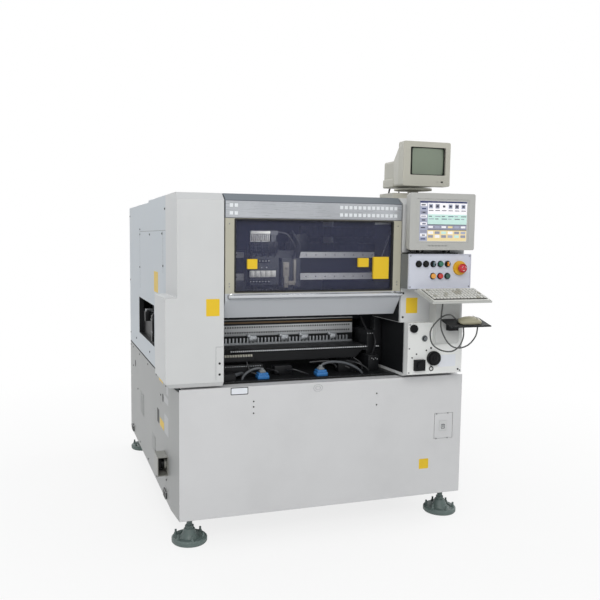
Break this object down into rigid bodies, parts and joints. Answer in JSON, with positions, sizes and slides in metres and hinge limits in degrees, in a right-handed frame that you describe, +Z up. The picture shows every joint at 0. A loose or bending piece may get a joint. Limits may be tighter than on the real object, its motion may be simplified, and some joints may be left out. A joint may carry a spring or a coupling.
{
  "type": "pick and place machine",
  "caption": "Floor-standing surface-mount pick and place machine with front safety hood, feeder bay, gantry head, board conveyor, switch panel, touch panel, camera monitor and keyboard tray.",
  "frame": {"origin": "on the floor under the centre of the whole machine's bounding box", "axes": "+Z up, +Y from the operator's side to the rear, +X from the board inlet on the left to the outlet on the right"},
  "size_m": [1.388, 1.7914, 1.702],
  "materials": {
    "cabinet_white": "fine satin light grey paint",
    "cover_white": "fine satin off-white paint",
    "frame_grey": "satin grey paint",
    "black_metal": "satin black paint",
    "cast_teal": "painted casting",
    "beam_grey": "machined",
    "rail_aluminium": "anodised",
    "steel": "ground",
    "hood_slate": "satin slate with silver printed band",
    "hood_cream": "satin cream paint",
    "tinted": "tinted",
    "chrome": "polished",
    "blue_plastic": "moulded",
    "dark_grey": "satin",
    "lavender_plate": "satin",
    "yellow_plastic": "moulded",
    "black_plastic": "moulded",
    "monitor_beige": "moulded",
    "screen_glass": "glossy",
    "keyboard_beige": "moulded",
    "mouse_beige": "moulded",
    "cord_black": "smooth",
    "green_plastic": "moulded",
    "dark_green_plastic": "moulded",
    "orange_plastic": "moulded",
    "amber_plastic": "moulded",
    "red_plastic": "moulded",
    "slate_plastic": "moulded"
  },
  "bodies": {
    "machine": {"base_frame": "frame_grey", "levelling_feet": "cast_teal", "machine_bed": "black_metal", "front_lower_panel": "cabinet_white", "left_lower_panel": "cabinet_white", "right_lower_panel": "cabinet_white", "rear_panels": "cabinet_white", "left_front_cover": "cover_white", "right_front_cover": "cover_white", "left_side_cover": "cover_white", "right_side_cover": "cover_white", "roof_panel": "cover_white", "hood_hinge_pins": "steel", "gantry_frame": "black_metal", "feeder_bank": "black_metal", "feeder_comb": "rail_aluminium", "conveyor_fixed_rail": "rail_aluminium", "pneumatic_couplers": "blue_plastic", "switch_box": "dark_grey", "switch_panel": "lavender_plate", "estop_collar": "yellow_plastic", "tray_post": "cover_white", "lower_switch_plate": "cover_white", "panel_sockets": "black_plastic", "touch_panel_stand": "black_metal", "camera_monitor_stand": "monitor_beige", "main_switch_guard": "cover_white", "mouse_tray": "black_metal", "mouse": "mouse_beige", "keyboard_cord": "cord_black", "mouse_cord": "cord_black"},
    "front_hood": {"hood_top": "hood_slate", "hood_frame": "hood_cream", "hood_window": "tinted", "hood_handle": "chrome"},
    "rear_hood": {"rear_hood_frame": "cover_white", "rear_hood_window": "tinted"},
    "beam": {"moving_beam": "beam_grey"},
    "head": {"placement_head": "dark_grey"},
    "spindle_1": {"nozzle_1": "steel"},
    "spindle_2": {"nozzle_2": "steel"},
    "spindle_3": {"nozzle_3": "steel"},
    "spindle_4": {"nozzle_4": "steel"},
    "rear_rail": {"conveyor_moving_rail": "rail_aluminium"},
    "board_support": {"backup_table": "steel"},
    "touch_panel": {"touch_panel_housing": "monitor_beige", "touch_panel_screen": "screen_glass"},
    "camera_monitor": {"camera_monitor_housing": "monitor_beige", "camera_monitor_screen": "screen_glass"},
    "keyboard_shelf": {"keyboard_tray": "cover_white", "keyboard": "keyboard_beige"},
    "key_switch": {"key_selector": "slate_plastic"},
    "green_push": {"green_button": "green_plastic"},
    "orange_switch": {"orange_selector": "orange_plastic"},
    "amber_push": {"amber_button": "amber_plastic"},
    "red_push": {"red_button": "red_plastic"},
    "dark_green_push": {"dark_green_button": "dark_green_plastic"},
    "stop_push": {"emergency_stop": "red_plastic"},
    "main_switch": {"main_switch_knob": "black_plastic"},
    "hatch": {"hatch_door": "cabinet_white"}
  },
  "joints": [
    {"name": "front_hood_hinge", "type": "hinge", "parent": "machine", "child": "front_hood", "pos_m": [-0.061, -0.39226, 1.443], "axis": [-1, 0, 0], "range_deg": [0, 65]},
    {"name": "rear_hood_hinge", "type": "hinge", "parent": "machine", "child": "rear_hood", "pos_m": [0.019, 0.65974, 1.434], "axis": [1, 0, 0], "range_deg": [0, 60]},
    {"name": "beam_travel", "type": "slide", "parent": "machine", "child": "beam", "axis": [0, 1, 0], "range_m": [-0.13, 0.56]},
    {"name": "head_travel", "type": "slide", "parent": "beam", "child": "head", "axis": [1, 0, 0], "range_m": [-0.2, 0.32]},
    {"name": "nozzle_1_stroke", "type": "slide", "parent": "head", "child": "spindle_1", "axis": [0, 0, -1], "range_m": [0, 0.055]},
    {"name": "nozzle_2_stroke", "type": "slide", "parent": "head", "child": "spindle_2", "axis": [0, 0, -1], "range_m": [0, 0.055]},
    {"name": "nozzle_3_stroke", "type": "slide", "parent": "head", "child": "spindle_3", "axis": [0, 0, -1], "range_m": [0, 0.055]},
    {"name": "nozzle_4_stroke", "type": "slide", "parent": "head", "child": "spindle_4", "axis": [0, 0, -1], "range_m": [0, 0.055]},
    {"name": "conveyor_width", "type": "slide", "parent": "machine", "child": "rear_rail", "axis": [0, 1, 0], "range_m": [-0.2, 0.19]},
    {"name": "backup_lift", "type": "slide", "parent": "machine", "child": "board_support", "axis": [0, 0, 1], "range_m": [0, 0.03]},
    {"name": "touch_panel_tilt", "type": "hinge", "parent": "machine", "child": "touch_panel", "pos_m": [0.471, -0.69926, 1.224], "axis": [1, 0, 0], "range_deg": [0, 12]},
    {"name": "camera_monitor_swivel", "type": "hinge", "parent": "machine", "child": "camera_monitor", "pos_m": [0.477, -0.48926, 1.504], "axis": [0, 0, 1], "range_deg": [-25, 25]},
    {"name": "keyboard_tray_fold", "type": "hinge", "parent": "machine", "child": "keyboard_shelf", "pos_m": [0.496, -0.73526, 1.056], "axis": [-1, 0, 0], "range_deg": [0, 55]},
    {"name": "key_selector_turn", "type": "hinge", "parent": "machine", "child": "key_switch", "pos_m": [0.447, -0.73126, 1.17], "axis": [0, -1, 0], "range_deg": [-45, 45]},
    {"name": "green_button_press", "type": "slide", "parent": "machine", "child": "green_push", "axis": [0, 1, 0], "range_m": [0, 0.003], "stiffness_N_per_m": 400},
    {"name": "orange_selector_turn", "type": "hinge", "parent": "machine", "child": "orange_switch", "pos_m": [0.517, -0.73126, 1.17], "axis": [0, -1, 0], "range_deg": [0, 60]},
    {"name": "amber_button_press", "type": "slide", "parent": "machine", "child": "amber_push", "axis": [0, 1, 0], "range_m": [0, 0.003], "stiffness_N_per_m": 400},
    {"name": "red_button_press", "type": "slide", "parent": "machine", "child": "red_push", "axis": [0, 1, 0], "range_m": [0, 0.003], "stiffness_N_per_m": 400},
    {"name": "dark_green_button_press", "type": "slide", "parent": "machine", "child": "dark_green_push", "axis": [0, 1, 0], "range_m": [0, 0.003], "stiffness_N_per_m": 400},
    {"name": "emergency_stop_press", "type": "slide", "parent": "machine", "child": "stop_push", "axis": [0, 1, 0], "range_m": [0, 0.005]},
    {"name": "main_switch_turn", "type": "hinge", "parent": "machine", "child": "main_switch", "pos_m": [-0.666, -0.38926, 0.286], "axis": [-1, 0, 0], "range_deg": [0, 90]},
    {"name": "hatch_swing", "type": "hinge", "parent": "machine", "child": "hatch", "pos_m": [0.619, -0.63276, 0.428], "axis": [0, 0, 1], "range_deg": [0, 100]}
  ]
}
